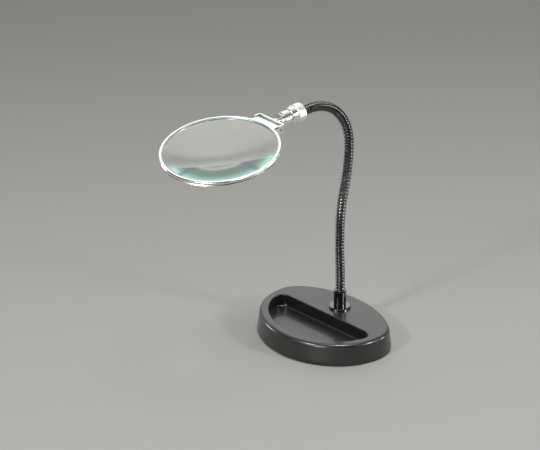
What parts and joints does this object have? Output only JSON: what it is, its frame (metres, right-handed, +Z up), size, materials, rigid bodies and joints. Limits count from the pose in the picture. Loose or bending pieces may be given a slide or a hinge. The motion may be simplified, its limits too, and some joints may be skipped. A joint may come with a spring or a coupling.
{
  "type": "stand magnifier",
  "caption": "Free-standing magnifier: a weighted oval base with a tray carries a ribbed flexible neck, which holds a round lens in a tilting and swivelling ring.",
  "frame": {"origin": "centre of the base's underside, on the surface it stands on", "axes": "+Z up, +X along the base's long side, -Y to the front, where the tray lies and the lens hangs"},
  "size_m": [0.1224, 0.2033, 0.2147],
  "materials": {
    "base_plastic": "gloss",
    "cast_iron": "rough",
    "cover_plastic": "matte",
    "pad_rubber": "matte",
    "zinc_steel": "satin",
    "neck_lacquer": "gloss",
    "spring_steel": "satin",
    "satin_metal": "satin",
    "lens_glass": "polished",
    "ring_chrome": "bright",
    "fitting_chrome": "bright"
  },
  "bodies": {
    "base": {"base_shell": "base_plastic", "ballast_block": "cast_iron", "base_plate": "cover_plastic", "base_pad": "pad_rubber", "base_screws": "zinc_steel", "foot_flange": "fitting_chrome", "stem_sleeve": "neck_lacquer", "stem_stud": "zinc_steel", "stem_washer": "zinc_steel", "stem_nut": "zinc_steel"},
    "neck_01": {"neck_winding_01": "neck_lacquer", "neck_core_01": "spring_steel"},
    "neck_02": {"neck_winding_02": "neck_lacquer", "neck_core_02": "spring_steel"},
    "neck_03": {"neck_winding_03": "neck_lacquer", "neck_core_03": "spring_steel"},
    "neck_04": {"neck_winding_04": "neck_lacquer", "neck_core_04": "spring_steel"},
    "neck_05": {"neck_winding_05": "neck_lacquer", "neck_core_05": "spring_steel"},
    "neck_06": {"neck_winding_06": "neck_lacquer", "neck_core_06": "spring_steel"},
    "neck_07": {"neck_winding_07": "neck_lacquer", "neck_core_07": "spring_steel"},
    "neck_08": {"neck_winding_08": "neck_lacquer", "neck_core_08": "spring_steel"},
    "neck_09": {"neck_winding_09": "neck_lacquer", "neck_core_09": "spring_steel"},
    "neck_10": {"neck_winding_10": "neck_lacquer", "neck_core_10": "spring_steel"},
    "neck_11": {"neck_winding_11": "neck_lacquer", "neck_core_11": "spring_steel", "neck_end_plug": "satin_metal", "head_barrel": "fitting_chrome", "barrel_bush": "fitting_chrome", "friction_washer": "zinc_steel"},
    "collar": {"clamp_collar": "satin_metal"},
    "swivel": {"swivel_post": "fitting_chrome", "yoke_bracket": "fitting_chrome", "hinge_pin": "zinc_steel"},
    "lens_head": {"ring_frame": "ring_chrome", "retaining_ring": "ring_chrome", "lens": "lens_glass"}
  },
  "joints": [
    {"name": "neck_bend_01", "type": "hinge", "parent": "base", "child": "neck_01", "pos_m": [0, 0.0143, 0.0346], "axis": [1, 0, 0], "range_deg": [-12, 12]},
    {"name": "neck_bend_02", "type": "hinge", "parent": "neck_01", "child": "neck_02", "pos_m": [0, 0.01359, 0.05978], "axis": [0, 0.9974, 0.0727], "range_deg": [-12, 12]},
    {"name": "neck_bend_03", "type": "hinge", "parent": "neck_02", "child": "neck_03", "pos_m": [0, 0.0129, 0.08495], "axis": [1, 0, 0], "range_deg": [-12, 12]},
    {"name": "neck_bend_04", "type": "hinge", "parent": "neck_03", "child": "neck_04", "pos_m": [0, 0.01445, 0.11007], "axis": [0, 0.9897, -0.1432], "range_deg": [-12, 12]},
    {"name": "neck_bend_05", "type": "hinge", "parent": "neck_04", "child": "neck_05", "pos_m": [0, 0.01954, 0.13473], "axis": [1, 0, 0], "range_deg": [-12, 12]},
    {"name": "neck_bend_06", "type": "hinge", "parent": "neck_05", "child": "neck_06", "pos_m": [0, 0.02205, 0.15977], "axis": [1, 0, 0], "range_deg": [-12, 12]},
    {"name": "neck_bend_07", "type": "hinge", "parent": "neck_06", "child": "neck_07", "pos_m": [0, 0.02058, 0.17364], "axis": [1, 0, 0], "range_deg": [-14, 2]},
    {"name": "neck_bend_08", "type": "hinge", "parent": "neck_07", "child": "neck_08", "pos_m": [0, 0.01496, 0.18639], "axis": [1, 0, 0], "range_deg": [-14, 2]},
    {"name": "neck_bend_09", "type": "hinge", "parent": "neck_08", "child": "neck_09", "pos_m": [0, 0.00569, 0.19681], "axis": [1, 0, 0], "range_deg": [-14, 2]},
    {"name": "neck_bend_10", "type": "hinge", "parent": "neck_09", "child": "neck_10", "pos_m": [0, -0.00633, 0.20387], "axis": [1, 0, 0], "range_deg": [-14, 2]},
    {"name": "neck_bend_11", "type": "hinge", "parent": "neck_10", "child": "neck_11", "pos_m": [0, -0.01994, 0.20689], "axis": [0, 0.0624, 0.9981], "range_deg": [-12, 12]},
    {"name": "collar_turn", "type": "hinge", "parent": "neck_11", "child": "collar", "pos_m": [0, -0.03393, 0.20698], "axis": [0, -1, 0], "range_deg": [0, 60]},
    {"name": "head_swivel", "type": "hinge", "parent": "neck_11", "child": "swivel", "pos_m": [0, -0.03393, 0.20698], "axis": [0, -1, 0], "range_deg": [-90, 90]},
    {"name": "ring_tilt", "type": "hinge", "parent": "swivel", "child": "lens_head", "pos_m": [0, -0.06843, 0.20698], "axis": [0.9989, 0, -0.0471], "range_deg": [-75, 60]}
  ]
}
